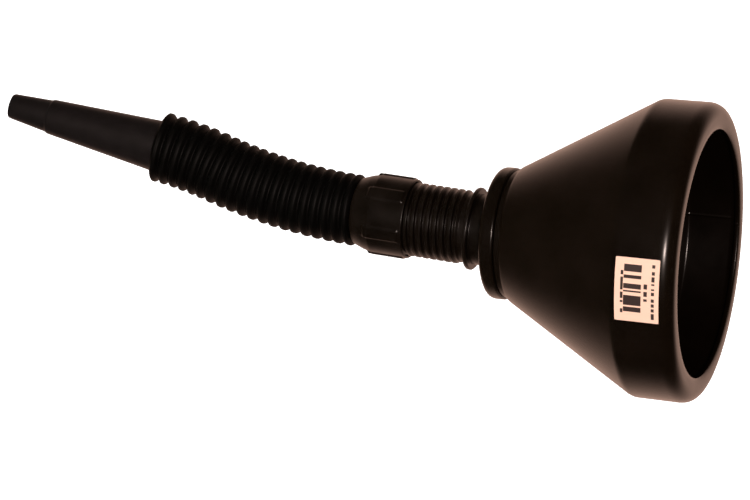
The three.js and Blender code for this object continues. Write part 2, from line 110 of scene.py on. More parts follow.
def rounded(corners, steps=CORNER_STEPS, skip_first=0, skip_last=0):
    """A closed outline from corners (radius, height, fillet). Each corner turns into a parabola from a point
    one fillet before it to a point one fillet after it: (1 - t)^2 * start + 2t(1 - t) * corner + t^2 * end.
    Each side gets a further point near both ends, so that the shading of a flat wall isn't bent by the
    corner beside it. The skips leave out corners at either end, where the outline joins another one."""
    side_share, widest_margin, margin_share = 0.48, 1.2, 0.6
    points = []
    t = np.linspace(0, 1, steps)[:, None]
    count = len(corners)
    for i, (radius, height, fillet) in enumerate(corners):
        here = np.array([radius, height])
        ends = []
        for other in (corners[i - 1], corners[(i + 1) % count]):
            side = np.array(other[:2]) - here
            length = np.linalg.norm(side)
            reach = min(fillet, side_share * length)
            margin = min(widest_margin, (length / 2 - reach) * margin_share)
            fillet_end = here + side / length * reach
            ends.append((fillet_end, fillet_end + side / length * margin))
        (start, before), (end, after) = ends
        points.append(before[None])
        points.append((1 - t) ** 2 * start + 2 * t * (1 - t) * here + t ** 2 * end)
        points.append(after[None])
    per_corner = steps + 2
    return np.vstack(points)[skip_first * per_corner:(count - skip_last) * per_corner]


def turned_grid(outline, angles, axes=None, origin=(0, 0, 0), raised=0.0):
    """Rows of points: each outline point (radius, height) swept round the axis.
    Point = origin + height * z + (radius + raised) * (cos angle * x + sin angle * y), and raised may differ
    from point to point and from angle to angle."""
    axes = np.eye(3) if axes is None else axes
    radius = outline[:, 0, None] + raised
    radius, height, angle = np.broadcast_arrays(radius, outline[:, 1, None], angles[None, :])
    local = np.stack([radius * np.cos(angle), radius * np.sin(angle), height], -1)
    return local @ axes.T * MM + np.array(origin)


def ring_angles(count):
    """Even angles round a full turn."""
    return np.linspace(0, 2 * math.pi, count, endpoint=False)


def grid_faces(rows, columns, closed_rows):
    """Four-sided faces between neighbouring rows and columns. Columns always close on themselves."""
    last = rows if closed_rows else rows - 1
    row, column = np.meshgrid(np.arange(last), np.arange(columns), indexing="ij")
    next_row, next_column = (row + 1) % rows, (column + 1) % columns
    corners = [
        row * columns + column,
        row * columns + next_column,
        next_row * columns + next_column,
        next_row * columns + column,
    ]
    return np.stack(corners, -1).reshape(-1, 4)


def solid_from_grid(name, grid, material, closed_rows=True, sharp=35):
    """A closed mesh from a grid of points. A grid with open rows gets a fan of triangles at both ends.
    Its signed volume, the sum of each face's triple product, tells whether the faces must be turned over."""
    rows, columns = grid.shape[:2]
    points = grid.reshape(-1, 3)
    quads = grid_faces(rows, columns, closed_rows)
    faces = [tuple(face) for face in quads.tolist()]
    if not closed_rows:
        around = np.arange(columns)
        onward = (around + 1) % columns
        last_row = (rows - 1) * columns
        hub = np.full(columns, len(points))
        points = np.vstack([points, grid[0].mean(0), grid[-1].mean(0)])
        first_fan = np.stack([onward, around, hub], -1)
        last_fan = np.stack([last_row + around, last_row + onward, hub + 1], -1)
        faces += [tuple(face) for face in np.vstack([first_fan, last_fan]).tolist()]
    a, b, c, d = (points[quads[:, k]] for k in range(4))
    volume = np.einsum("ij,ij->", a, np.cross(b, c)) + np.einsum("ij,ij->", a, np.cross(c, d))
    if volume < 0:
        faces = [face[::-1] for face in faces]
    return mesh_object(name, points, faces, material, sharp)


def add_object(name, data):
    """An object at the origin in the scene's own collection."""
    made = bpy.data.objects.new(name, data)
    bpy.context.scene.collection.objects.link(made)
    return made


def mesh_object(name, points, faces, material, sharp=35):
    """Puts the points and faces into a smooth-shaded mesh whose edges above the sharp angle stay crisp."""
    mesh = bpy.data.meshes.new(name)
    mesh.from_pydata(points, [], faces)
    mesh.validate()
    mesh.polygons.foreach_set("use_smooth", np.ones(len(mesh.polygons), bool))
    mesh.set_sharp_from_angle(angle=math.radians(sharp))
    mesh.materials.append(material)
    mesh.update()
    return add_object(name, mesh)


def settle(made, body, slot_name, *nodes):
    """Ties a finished piece to its body and hides the plain solids that it stands for. The slot name is not
    used.
    """
    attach(made, body)
    if nodes:
        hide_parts(*nodes)


def node_points(node):
    """All corner points of a plain solid, in metres."""
    mesh = frame["nodes"][node].data
    points = np.empty(len(mesh.vertices) * 3, np.float32)
    mesh.vertices.foreach_get("co", points)
    return points.reshape(-1, 3).astype(float)


def ring_place(node, down):
    """Centre and axis of a flat ring: the middle of its box, and the direction in which its points
    spread least, turned so that it goes the way of down."""
    low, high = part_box(node)
    centre = (np.array(low) + np.array(high)) / 2
    spread = node_points(node) - centre
    axis = np.linalg.svd(spread.T @ spread)[0][:, 2]
    return centre, axis * np.sign(np.dot(axis, down))


# ---- Materials ----

def colour(text):
    """sRGB hex to linear red, green, blue and 1."""
    parts = [int(text[i:i + 2], 16) / 255 for i in (1, 3, 5)]
    linear = [p / 12.92 if p <= 0.04045 else ((p + 0.055) / 1.055) ** 2.4 for p in parts]
    return (*linear, 1.0)


def add_node(tree, kind, settings=None, links=None):
    """Adds a node, sets its properties and unlinked sockets, and links sockets from other nodes' outputs."""
    node = tree.nodes.new(kind)
    for key, value in (settings or {}).items():
        if isinstance(key, str) and hasattr(node, key):
            setattr(node, key, value)
        else:
            node.inputs[key].default_value = value
    for key, output in (links or {}).items():
        tree.links.new(output, node.inputs[key])
    return node


def new_material(name, base, roughness, ior=1.5, metallic=0.0, specular=0.5):
    """A Principled material with even values on its own sockets. Returns it, its tree and its shader."""
    material = bpy.data.materials.new(name)
    material.use_nodes = True
    tree = material.node_tree
    shader = tree.nodes["Principled BSDF"]
    shader.inputs["Base Color"].default_value = colour(base)
    shader.inputs["Roughness"].default_value = roughness
    shader.inputs["Metallic"].default_value = metallic
    shader.inputs["IOR"].default_value = ior
    shader.inputs["Specular IOR Level"].default_value = specular
    return material, tree, shader


def cloud_noise(tree, size_mm, detail):
    """Smooth noise in the piece's own space, with spots about size_mm wide."""
    place = add_node(tree, "ShaderNodeTexCoord")
    noise = add_node(
        tree, "ShaderNodeTexNoise",
        {"Scale": 1 / (size_mm * MM), "Detail": detail},
        {"Vector": place.outputs["Object"]},
    )
    return noise.outputs["Fac"]


def two_tones(tree, shader, fac, dark, light, low=0.0, high=1.0):
    """Base colour that runs from dark to light as fac rises from low to high."""
    ramp = add_node(tree, "ShaderNodeValToRGB", links={"Fac": fac})
    first, last = ramp.color_ramp.elements
    first.position, first.color = low, colour(dark)
    last.position, last.color = high, colour(light)
    tree.links.new(ramp.outputs["Color"], shader.inputs["Base Color"])


def grain(tree, shader, tones, spot_mm, roughness, dimple_mm, dimple_strength):
    """Moulded surface: a soft noise moves the colour between two tones and the gloss between two
    roughnesses, and a fine one dimples the skin by up to 0.05 mm."""
    low, high = 0.3, 0.7
    cloud = cloud_noise(tree, spot_mm, 3.0)
    cloud.node.inputs["Roughness"].default_value = 0.55
    two_tones(tree, shader, cloud, *tones, low, high)
    gloss = add_node(
        tree, "ShaderNodeMapRange",
        {"From Min": low, "From Max": high, "To Min": roughness[0], "To Max": roughness[1]},
        {"Value": cloud},
    )
    tree.links.new(gloss.outputs["Result"], shader.inputs["Roughness"])
    bump = add_node(
        tree, "ShaderNodeBump",
        {"Strength": dimple_strength, "Distance": 0.05 * MM},
        {"Height": cloud_noise(tree, dimple_mm, 2.0)},
    )
    tree.links.new(bump.outputs["Normal"], shader.inputs["Normal"])


def moulded_polypropylene(sizes):
    """Carbon-filled polypropylene from a polished mould: near black with a satin gloss and a warm cast."""
    material, tree, shader = new_material("polypropylene_polished_mould", sizes.shell_hex, 0.3)
    grain(tree, shader, (sizes.shell_hex, "#110a05"), 22, (0.22, 0.27), 2.4, 0.01)
    return material


def moulded_fitting_plastic(sizes):
    """The same plastic from a plainer mould: a little less gloss, so the thread and lugs read softly."""
    material, tree, shader = new_material("polypropylene_plain_mould", sizes.shell_hex, 0.36)
    grain(tree, shader, (sizes.shell_hex, "#130c06"), 9, (0.3, 0.38), 1.0, 0.1)
    return material


def blown_polyethylene(sizes):
    """Blow-moulded polyethylene: the soft skin takes little polish from its mould and stays dull."""
    material, tree, shader = new_material("polyethylene_blow_moulded", sizes.hose_hex, 0.5, specular=0.2)
    grain(tree, shader, (sizes.hose_hex, "#050403"), 6, (0.5, 0.6), 0.8, 0.12)
    return material


def sparked_nozzle_plastic(sizes):
    """Polyethylene from a spark-eroded mould: a fine matt grain that greys the black a little. The real
    grain is near 0.1 mm, and it is drawn at 0.7 mm so that it shows at all."""
    material, tree, shader = new_material("polyethylene_spark_eroded_mould", sizes.nozzle_hex, 0.48)
    grain(tree, shader, (sizes.nozzle_hex, "#16100f"), 7, (0.42, 0.5), 0.7, 0.2)
    return material


def seal_rubber(sizes):
    """Nitrile rubber cut from sheet: flat black with hardly any shine."""
    material, tree, shader = new_material("nitrile_rubber_sheet", "#101010", 0.8)
    grain(tree, shader, ("#0d0d0d", "#161514"), 3, (0.72, 0.85), 0.5, 0.2)
    return material


def woven_brass(sizes):
    """Drawn brass wire, woven: yellow metal, bright in places and slightly tarnished between."""
    material, tree, shader = new_material("brass_wire_woven", "#c9a24f", 0.3, metallic=1.0)
    two_tones(tree, shader, cloud_noise(tree, 4, 3.0), "#8f6f35", "#d9b463")
    return material


def printed_film(sizes):
    """Adhesive film with printed marks: an off-white satin face, a block of bars and rows of short dashes.
    The bars and dashes are plain random blocks and stand for no code or word."""
    material, tree, shader = new_material("vinyl_film_printed", sizes.label_hex, 0.45)
    place = add_node(tree, "ShaderNodeUVMap", {"uv_map": "label_uv"})
    across = add_node(tree, "ShaderNodeSeparateXYZ", links={"Vector": place.outputs["UV"]})
    u, v = across.outputs["X"], across.outputs["Y"]

    def maths(operation, first, second=0.0):
        node = add_node(tree, "ShaderNodeMath", {"operation": operation})
        for socket, value in zip(node.inputs, (first, second)):
            if isinstance(value, float):
                socket.default_value = value
            else:
                tree.links.new(value, socket)
        return node.outputs["Value"]

    def window(value, low, high):
        return maths("MULTIPLY", maths("GREATER_THAN", value, low), maths("LESS_THAN", value, high))

    def marks_between(u_ends, v_ends, cells, seed, empty_share):
        """1 on random cells of a strip: the label's width is cut into cells, and a share stays empty."""
        cell = maths("FLOOR", maths("MULTIPLY", v, float(cells)))
        joined = add_node(tree, "ShaderNodeCombineXYZ", {"Y": seed}, {"X": cell})
        noise = add_node(
            tree, "ShaderNodeTexWhiteNoise",
            {"noise_dimensions": "2D"},
            {"Vector": joined.outputs["Vector"]},
        )
        filled = maths("GREATER_THAN", noise.outputs["Value"], empty_share)
        return maths("MULTIPLY", filled, maths("MULTIPLY", window(u, *u_ends), window(v, *v_ends)))

    marks = marks_between((0.2, 0.6), (0.1, 0.9), 38, 3.0, 0.42)
    for u_ends, v_ends, cells, seed, empty_share in (
        ((0.13, 0.19), (0.12, 0.9), 30, 11.0, 0.45),
        ((0.66, 0.74), (0.3, 0.72), 26, 23.0, 0.4),
        ((0.83, 0.9), (0.08, 0.94), 38, 37.0, 0.4),
    ):
        marks = maths("MAXIMUM", marks, marks_between(u_ends, v_ends, cells, seed, empty_share))
    two_tones(tree, shader, marks, sizes.label_hex, "#3a2a26")
    return material


def studio_floor():
    """Opal acrylic lit from below, as on a light table: even, pale and without a shadow."""
    material, tree, shader = new_material("opal_acrylic_lit", "#f4f4f4", 0.9, specular=0.1)
    shader.inputs["Emission Color"].default_value = colour("#ffffff")
    shader.inputs["Emission Strength"].default_value = 1.0
    return material


MAKERS = {
    "shell": moulded_polypropylene,
    "fitting": moulded_fitting_plastic,
    "hose": blown_polyethylene,
    "nozzle": sparked_nozzle_plastic,
    "rubber": seal_rubber,
    "brass": woven_brass,
    "film": printed_film,
}
MADE = {}


def material_of(kind):
    """Each material is made once, on first use."""
    if kind not in MADE:
        MADE[kind] = MAKERS[kind](bpy.context.scene.funnel_sizes)
    return MADE[kind]


# ---- Where the spout runs ----

def neck_place():
    """Origin and axes of the neck: its axis is the nut's, and x lies as near to the row's X as it can."""
    joint = JOINTS["coupling_turn"]
    axes = frame_axes(joint["axis"], (1, 0, 0))
    return np.array(joint["pos_m"], float), axes


def hose_places():
    """Centre and axes of each fold, top first. z points down the hose, and x is carried on without twist."""
    axes = neck_place()[1]
    down, x_axis = -axes[:, 2], axes[:, 0]
    places = []
    for node in FOLDS:
        centre, down = ring_place(node, down)
        turned_axes = frame_axes(down, x_axis)
        x_axis = turned_axes[:, 0]
        places.append((centre, turned_axes))
    return places


# ---- User sizes and colours ----

def length_property(name, description, millimetres):
    """A length that a user would change, stored in metres."""
    return bpy.props.FloatProperty(
        name=name, description=description, default=millimetres * MM, min=0, unit="LENGTH", precision=4)


class FunnelSizes(bpy.types.PropertyGroup):
    """What a user would change: wall sizes, thread, bellows and colours."""
    shell_hex: bpy.props.StringProperty(
        name="Shell colour", description="sRGB hex of the bowl, collar, neck and nut", default="#0c0703")
    hose_hex: bpy.props.StringProperty(
        name="Hose colour", description="sRGB hex of the bellows hose", default="#030302")
    nozzle_hex: bpy.props.StringProperty(
        name="Nozzle colour", description="sRGB hex of the nozzle", default="#120d0c")
    label_hex: bpy.props.StringProperty(
        name="Label colour", description="sRGB hex of the label's film", default="#ffcfb6")
    wall: length_property("Bowl wall", "Thickness of the bowl's wall", 2)
    seam_height: length_property("Seam height", "How far the mould seam stands out inside the bowl", 0.25)
    thread_pitch: length_property("Thread pitch", "Rise of the neck's thread in one turn", 4.2)
    thread_depth: length_property("Thread depth", "Height of the neck's thread ridge", 1.4)
    lug_count: bpy.props.IntProperty(
        name="Lugs", description="Number of grip lugs on the nut", default=6, min=2)
    lug_rise: length_property("Lug rise", "How far a lug stands out of the nut", 0.7)
    hose_wall: length_property("Hose wall", "Thickness of the bellows skin", 0.9)
    valley_depth: length_property("Valley depth", "From a fold's crest down to the valley beside it", 2.0)
    wire_spacing: length_property("Wire spacing", "From one gauze wire to the next", 1.6)
    wire_radius: length_property("Wire radius", "Radius of a gauze wire", 0.16)


# ---- Operators ----

class FUNNEL_OT_bowl(bpy.types.Operator):
    """Bowl: a closed outline turned round the axis, with a raised mould seam inside."""
    bl_idname = "funnel.bowl"
    bl_label = "Bowl"

    def execute(self, context):
        """Rolled rim: radius = crown + width * cos^0.83, height = skirt top + rise * sin^0.83, a little
        squarer than an ellipse. Inside, the radius is less by the seam's height * exp(-(arc / 0.5)^2),
        where arc is the distance from the seam round the wall."""
        sizes = context.scene.funnel_sizes
        wall = sizes.wall / MM
        roll_width, roll_rise, squareness = 8.1, 8.3, 0.83
        crown = BOWL_RADIUS - roll_width
        skirt_top = RIM_TOP - roll_rise
        cone_top = skirt_top - 23.2
        cone_radius = BOWL_RADIUS - 0.1
        quarter = np.radians(np.linspace(0, 90, 22))
        outer_roll = np.column_stack([
            crown + roll_width * np.abs(np.cos(quarter)) ** squareness,
            skirt_top + roll_rise * np.sin(quarter) ** squareness,
        ])
        lip_start, lip_reach, lip_drop = crown - 1.6, 4.2, 0.9
        lip_end = lip_start - lip_reach
        lip_turn = np.radians(np.linspace(90, 180, 12))
        lip = np.column_stack([
            lip_start + lip_reach * np.cos(lip_turn),
            RIM_TOP - lip_drop + lip_drop * np.sin(lip_turn),
        ])
        lip_edge = np.array([
            [lip_end, RIM_TOP - 2.4],
            [lip_end + 0.15, RIM_TOP - 2.7],
            [lip_end + 0.5, RIM_TOP - 2.8],
        ])
        back = np.radians(np.linspace(90, 0, 16))
        inner_roll = np.column_stack([
            crown + (roll_width - wall) * np.cos(back),
            skirt_top + (roll_rise - wall) * np.sin(back),
        ])
        seat, hole, floor_top, floor_bottom = 33.4, 17.5, 10.3, 8.3
        sleeve_bore, sleeve, sleeve_end = 29.5, 32.7, 1.7
        shoulder, shoulder_end = 34.8, COLLAR_TOP + 0.3
        cone_and_outlet = rounded([
            (BOWL_RADIUS - wall, skirt_top, 0.1),
            (cone_radius - wall, cone_top, 0.6),
            (seat + 1.7, 13.0, 0.6),
            (seat, 10.9, 0.4),
            (seat, floor_top, 0.2),
            (hole, floor_top, 0.5),
            (hole, floor_bottom, 0.3),
            (sleeve_bore, floor_bottom, 0.3),
            (sleeve_bore, sleeve_end, 0.2),
            (sleeve, sleeve_end, 0.3),
            (sleeve, shoulder_end, 0.1),
            (shoulder, shoulder_end, 0.3),
            (shoulder, 11.9, 0.5),
            (shoulder + 2.2, 12.4, 1.3),
            (cone_radius, cone_top, 1.8),
            (BOWL_RADIUS, skirt_top, 0.1),
        ], skip_first=1, skip_last=1)
        outline = np.vstack([outer_roll, lip, lip_edge, inner_roll, cone_and_outlet])
        seam_angle, seam_width = math.radians(106.5), 0.5
        fine_reach, fine_count, coarse_count = 1.6, 17, 220
        fine = seam_angle + np.radians(np.linspace(-fine_reach, fine_reach, fine_count))
        coarse = ring_angles(coarse_count)
        gap = np.abs((coarse - seam_angle + math.pi) % (2 * math.pi) - math.pi)
        coarse = coarse[gap > math.radians(fine_reach + 0.2)]
        angles = np.sort(np.concatenate([coarse, fine % (2 * math.pi)]))
        arc = (angles[None] - seam_angle) * outline[:, 0, None]
        seam_start = len(outer_roll) + len(lip)
        seam_corners = 3
        seam_rows = len(lip_edge) + len(inner_roll) + seam_corners * (CORNER_STEPS + 2)
        inside = np.zeros((len(outline), 1))
        inside[seam_start:seam_start + seam_rows] = 1
        seam = sizes.seam_height / MM * np.exp(-(arc / seam_width) ** 2) * inside
        grid = turned_grid(outline, angles, raised=-seam)
        bowl = solid_from_grid("bowl_shell", grid, material_of("shell"))
        settle(bowl, "bowl", "bowl_plastic", "bowl")
        return {"FINISHED"}


class FUNNEL_OT_collar(bpy.types.Operator):
    """Outlet collar: a shallow cup with rounded edges, pressed over the outlet. It also gives the two
    plain seals, which stay as they are, their rubber."""
    bl_idname = "funnel.collar"
    bl_label = "Outlet collar"

    def execute(self, context):
        """The rounded outline of the cup turned round the bowl's axis."""
        hole, outside, inside, floor = 20.6, 36.0, 33.0, 1.4
        outline = rounded([
            (hole, 0.0, 0.4),
            (outside, 0.0, 3.6),
            (outside, COLLAR_TOP, 1.6),
            (inside, COLLAR_TOP, 0.4),
            (inside, floor, 0.3),
            (hole, floor, 0.3),
        ], steps=8)
        grid = turned_grid(outline, ring_angles(160))
        collar = solid_from_grid("outlet_collar_cup", grid, material_of("shell"))
        settle(collar, "bowl", "bowl_plastic", "outlet_collar")
        for node in ("neck_gasket", "sealing_washer"):
            mesh = frame["nodes"][node].data
            mesh.materials.clear()
            mesh.materials.append(material_of("rubber"))
        return {"FINISHED"}


def ridge_height(station, angle, ends, pitch, depth, crest, foot):
    """Height of a right-hand thread at each station down the axis and each angle. Along the axis it is a
    trapezoid, crest wide at its top and foot wide at its base, that repeats every pitch and shifts by a
    pitch per turn. It fades out near both ends."""
    fade_share = 0.45
    phase = (station + pitch * angle / (2 * math.pi)) / pitch
    off_middle = np.abs(phase - np.round(phase)) * pitch
    flank = np.clip((foot / 2 - off_middle) / ((foot - crest) / 2), 0, 1)
    soft = flank * flank * (3 - 2 * flank)
    fade = np.clip(np.minimum(station - ends[0], ends[1] - station) / (pitch * fade_share), 0, 1)
    return depth * soft * fade


def rows_of(parts, chosen):
    """A column of ones on the rows of the chosen part of a stacked outline, and zeros on all the others."""
    return np.concatenate([np.full((len(part), 1), float(i == chosen)) for i, part in enumerate(parts)])


def turned_on_neck(outline, angles, raised):
    """An outline of (radius, station) turned round the neck's axis. Height = NUT_TOP - station."""
    origin, axes = neck_place()
    upright = np.column_stack([outline[:, 0], NUT_TOP - outline[:, 1]])
    return turned_grid(upright, angles, axes, origin, raised)


class FUNNEL_OT_neck(bpy.types.Operator):
    """Threaded neck: flange, spigot, bead and a long external thread on a hollow tube."""
    bl_idname = "funnel.neck"
    bl_label = "Threaded neck"

    def execute(self, context):
        """The outline's radius plus the thread's height, turned round the neck's axis."""
        sizes = context.scene.funnel_sizes
        bore, root, spigot, flange, bead = 16.2, 19.0, 19.4, 22.0, 22.7
        flange_half, bead_top, bead_end, length = 0.7, 15.4, 17.9, 72.0
        thread_start, thread_rows, bore_rows = 20.0, 500, 12
        upper = rounded([
            (bore, -flange_half, 0.4),
            (flange, -flange_half, 0.3),
            (flange, flange_half, 0.3),
            (spigot, flange_half, 0.2),
            (spigot, bead_top, 0.5),
            (bead, bead_top, 1.0),
            (bead, bead_end, 1.0),
            (root, bead_end, 0.6),
            (root, thread_start + 1, 0.1),
        ], steps=8, skip_last=1)
        threaded = np.column_stack([
            np.full(thread_rows, root),
            np.linspace(thread_start, length - 0.5, thread_rows),
        ])
        ending = np.array([
            [root - 0.1, length - 0.15],
            [root - 0.4, length],
            [bore + 0.3, length],
            [bore, length - 0.3],
        ])
        inner = np.column_stack([np.full(bore_rows, bore), np.linspace(length - 1, 0.5, bore_rows)])
        parts = [upper, threaded, ending, inner]
        outline = np.vstack(parts)
        angles = ring_angles(96)
        thread = ridge_height(
            outline[:, 1, None], angles[None], (thread_start + 1.2, length - 1.2),
            sizes.thread_pitch / MM, sizes.thread_depth / MM, crest=1.3, foot=3.4,
        )
        grid = turned_on_neck(outline, angles, thread * rows_of(parts, 1))
        neck = solid_from_grid("threaded_neck_tube", grid, material_of("fitting"), sharp=50)
        settle(neck, "bowl", "fittings_plastic", "threaded_neck")
        return {"FINISHED"}


class FUNNEL_OT_nut(bpy.types.Operator):
    """Coupling nut: a tapered sleeve with grip lugs outside and a thread inside."""
    bl_idname = "funnel.nut"
    bl_label = "Coupling nut"

    def execute(self, context):
        """Outside radius = outline + lug rise * a soft square wave round the axis, only on the lugs' length.
        Inside radius = bore - the thread's height, half a pitch off the neck's own ridge."""
        sizes = context.scene.funnel_sizes
        bore, outside, taper_radius, cuff_bore, end_bore = 20.8, 21.9, 20.55, 18.9, 16.2
        cuff_top, cuff_end, taper_end, nut_end = 72.4, 76.7, 78.0, 84.0
        lug_top, lug_end, lug_ramp, lug_width, lug_flank = 53.9, 75.4, 1.1, 3.5, 0.022
        outer_rows, bore_rows = 60, 170
        # The head's last point would lie past the first row of the lugs, so it is left out.
        head = rounded([
            (bore, NUT_TOP, 0.2),
            (outside, NUT_TOP, 0.7),
            (outside, 60.0, 0.1),
        ], steps=9, skip_first=1, skip_last=1)[:-1]
        stations = np.linspace(54.0, lug_end, outer_rows)
        outer = np.column_stack([
            np.interp(stations, [cuff_top, taper_end], [outside, taper_radius]),
            stations,
        ])
        lower = rounded([
            (21.2, lug_end, 0.1),
            (taper_radius, taper_end, 3.0),
            (18.3, nut_end, 1.2),
            (end_bore, nut_end, 0.3),
            (end_bore, cuff_end, 0.2),
            (cuff_bore, cuff_end, 0.2),
            (cuff_bore, cuff_top, 0.2),
            (bore, 72.0, 0.2),
        ], steps=9, skip_first=1, skip_last=1)
        inner = np.column_stack([np.full(bore_rows, bore), np.linspace(71.6, 52.9, bore_rows)])
        parts = [head, outer, lower, inner]
        outline = np.vstack(parts)
        angles = ring_angles(240)
        station = outline[:, 1, None]
        turn = (angles[None] * sizes.lug_count / (2 * math.pi) + 0.5) % 1 - 0.5
        width = lug_width / (2 * math.pi * outside / sizes.lug_count)
        wave = np.clip((width - np.abs(turn)) / lug_flank + 0.5, 0, 1)
        wave = wave * wave * (3 - 2 * wave)
        from_top = np.clip((station - lug_top) / lug_ramp, 0, 1)
        from_end = np.clip((lug_end - station) / lug_ramp, 0, 1)
        level = np.interp(station, [73.1, taper_end], [0, outside - taper_radius])
        lugs = (sizes.lug_rise / MM + level) * wave * (from_top * from_end)
        thread = ridge_height(
            station - sizes.thread_pitch / MM / 2, angles[None], (51.5, 68.0),
            sizes.thread_pitch / MM, depth=1.2, crest=0.9, foot=2.6,
        )
        grid = turned_on_neck(outline, angles, lugs * rows_of(parts, 1) - thread * rows_of(parts, 3))
        nut = solid_from_grid("coupling_nut_sleeve", grid, material_of("fitting"), sharp=40)
        settle(nut, "coupling_nut", "fittings_plastic", "coupling_nut")
        return {"FINISHED"}


def skin_radii(share, crest, valley):
    """Radius of the bellows from one crest (share 0) to the next (share 1): a raised cosine, pressed flat at
    the crest and pinched in the valley, so crests are round and broad and valleys are narrow."""
    wave = 0.5 + 0.5 * np.cos(2 * math.pi * share)
    return valley + (crest - valley) * (1 - (1 - wave) ** 1.7)


def skin_grid(start, end, shares, outer, wall, count=96):
    """Tube wall between two places (centre, axes). The centre line is a Hermite curve along both axes,
    the cross axes are mixed in proportion, and the inner row runs back at radius less wall."""
    (c0, a0), (c1, a1) = start, end
    span = np.linalg.norm(c1 - c0)
    s = shares[:, None]
    centre = (
        (2 * s ** 3 - 3 * s ** 2 + 1) * c0 + (s ** 3 - 2 * s ** 2 + s) * span * a0[:, 2]
        + (3 * s ** 2 - 2 * s ** 3) * c1 + (s ** 3 - s ** 2) * span * a1[:, 2]
    )
    x = (1 - s) * a0[:, 0] + s * a1[:, 0]
    y = (1 - s) * a0[:, 1] + s * a1[:, 1]
    x /= np.linalg.norm(x, axis=1, keepdims=True)
    y /= np.linalg.norm(y, axis=1, keepdims=True)
    angle = ring_angles(count)[None, :, None]
    spoke = np.cos(angle) * x[:, None] + np.sin(angle) * y[:, None]
    outside = centre[:, None] + spoke * (outer * MM)[:, None, None]
    inside = centre[:, None] + spoke * ((outer - wall) * MM)[:, None, None]
    return np.concatenate([outside, inside[::-1]])


class FUNNEL_OT_hose(bpy.types.Operator):
    """Bellows hose: one closed skin piece from each fold's crest to the next, and a cuff at both ends."""
    bl_idname = "funnel.hose"
    bl_label = "Bellows hose"

    def execute(self, context):
        """Each piece bends with the two folds that it joins. A crest ring belongs to both its neighbours."""
        sizes = context.scene.funnel_sizes
        wall = sizes.hose_wall / MM
        places = hose_places()
        valley = CREST_RADIUS - sizes.valley_depth / MM
        shares = np.unique(np.concatenate([np.linspace(0, 1, 25), [0.03, 0.97]]))
        radii = skin_radii(shares, CREST_RADIUS, valley)
        for i in range(len(FOLDS) - 1):
            grid = skin_grid(places[i], places[i + 1], shares, radii, wall)
            piece = solid_from_grid(f"hose_skin_{i + 1:02d}", grid, material_of("hose"))
            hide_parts(FOLDS[i])
            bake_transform(piece)
        self.cuff("hose_top_end", self.top_outline(wall), places[0], "hose_top", "hose_top_cuff")
        end_nodes = ("hose_end_cuff", FOLDS[-1])
        self.cuff("hose_nozzle_end", self.nozzle_outline(wall), places[-1], "nozzle", *end_nodes)
        return {"FINISHED"}

    def cuff(self, name, outline, place, body, *nodes):
        """An end of the hose: its outline turned round the axis of the fold beside it."""
        centre, axes = place
        grid = turned_grid(outline, ring_angles(96), axes, centre)
        settle(solid_from_grid(name, grid, material_of("hose")), body, "hose_plastic", *nodes)

    def top_outline(self, wall):
        """A lip that the nut clamps, a plain neck and half a fold. Outside down, then back up the bore."""
        bore, lip, neck, top, lip_end = 14.4, 18.7, 15.9, -14.2, -12.4
        half_fold = np.array([
            [neck, -3.2],
            [16.6, -2.6],
            [17.9, -2.0],
            [18.9, -1.5],
            [19.55, -1.0],
            [19.85, -0.5],
            [CREST_RADIUS, -0.15],
            [CREST_RADIUS, 0.0],
        ])
        inner_fold = half_fold[::-1] - [wall, 0]
        return np.vstack([
            [[15.0, top], [lip, top], [lip, lip_end], [neck, lip_end]],
            half_fold,
            inner_fold,
            [[bore, -4.0], [bore, top]],
        ])

    def nozzle_outline(self, wall):
        """The last half fold, closed by a wall that runs in to the cuff round the nozzle's tail."""
        tail, fold_foot, face, cuff_end = 12.6, 15.0, 2.9, -1.3
        return rounded([
            (CREST_RADIUS - 0.2, -0.02, 0.05),
            (CREST_RADIUS, 0.3, 0.6),
            (CREST_RADIUS, 0.9, 0.9),
            (18.2, 2.3, 1.6),
            (fold_foot, face, 0.6),
            (tail, face, 0.3),
            (tail, cuff_end, 0.2),
            (15.9, cuff_end, 0.3),
            (CREST_RADIUS - wall, -0.02, 0.3),
        ], steps=7)


class FUNNEL_OT_nozzle(bpy.types.Operator):
    """Nozzle: a long taper with a small step before its rounded tip."""
    bl_idname = "funnel.nozzle"
    bl_label = "Nozzle"

    def execute(self, context):
        """The rounded outline turned round the last fold's axis. Its tip lies at the farthest solid point."""
        centre, axes = hose_places()[-1]
        tip = ((node_points("nozzle") - centre) @ axes[:, 2]).max() / MM
        step = tip - 23.4
        face, tail_end, tail_bore = 1.6, -3.4, 10.5
        outline = rounded([
            (5.2, tip, 0.5),
            (7.0, tip, 1.7),
            (9.2, step + 0.5, 0.5),
            (9.9, step - 0.5, 0.6),
            (14.6, face, 0.8),
            (12.3, face, 0.3),
            (12.3, tail_end, 0.6),
            (tail_bore, tail_end, 0.3),
            (tail_bore, face, 0.5),
            (8.1, step - 1.0, 0.4),
            (7.4, step + 0.5, 0.4),
        ], steps=8)
        grid = turned_grid(outline, ring_angles(96), axes, centre)
        nozzle = solid_from_grid("nozzle_tube", grid, material_of("nozzle"))
        settle(nozzle, "nozzle", "nozzle_plastic", "nozzle")
        return {"FINISHED"}


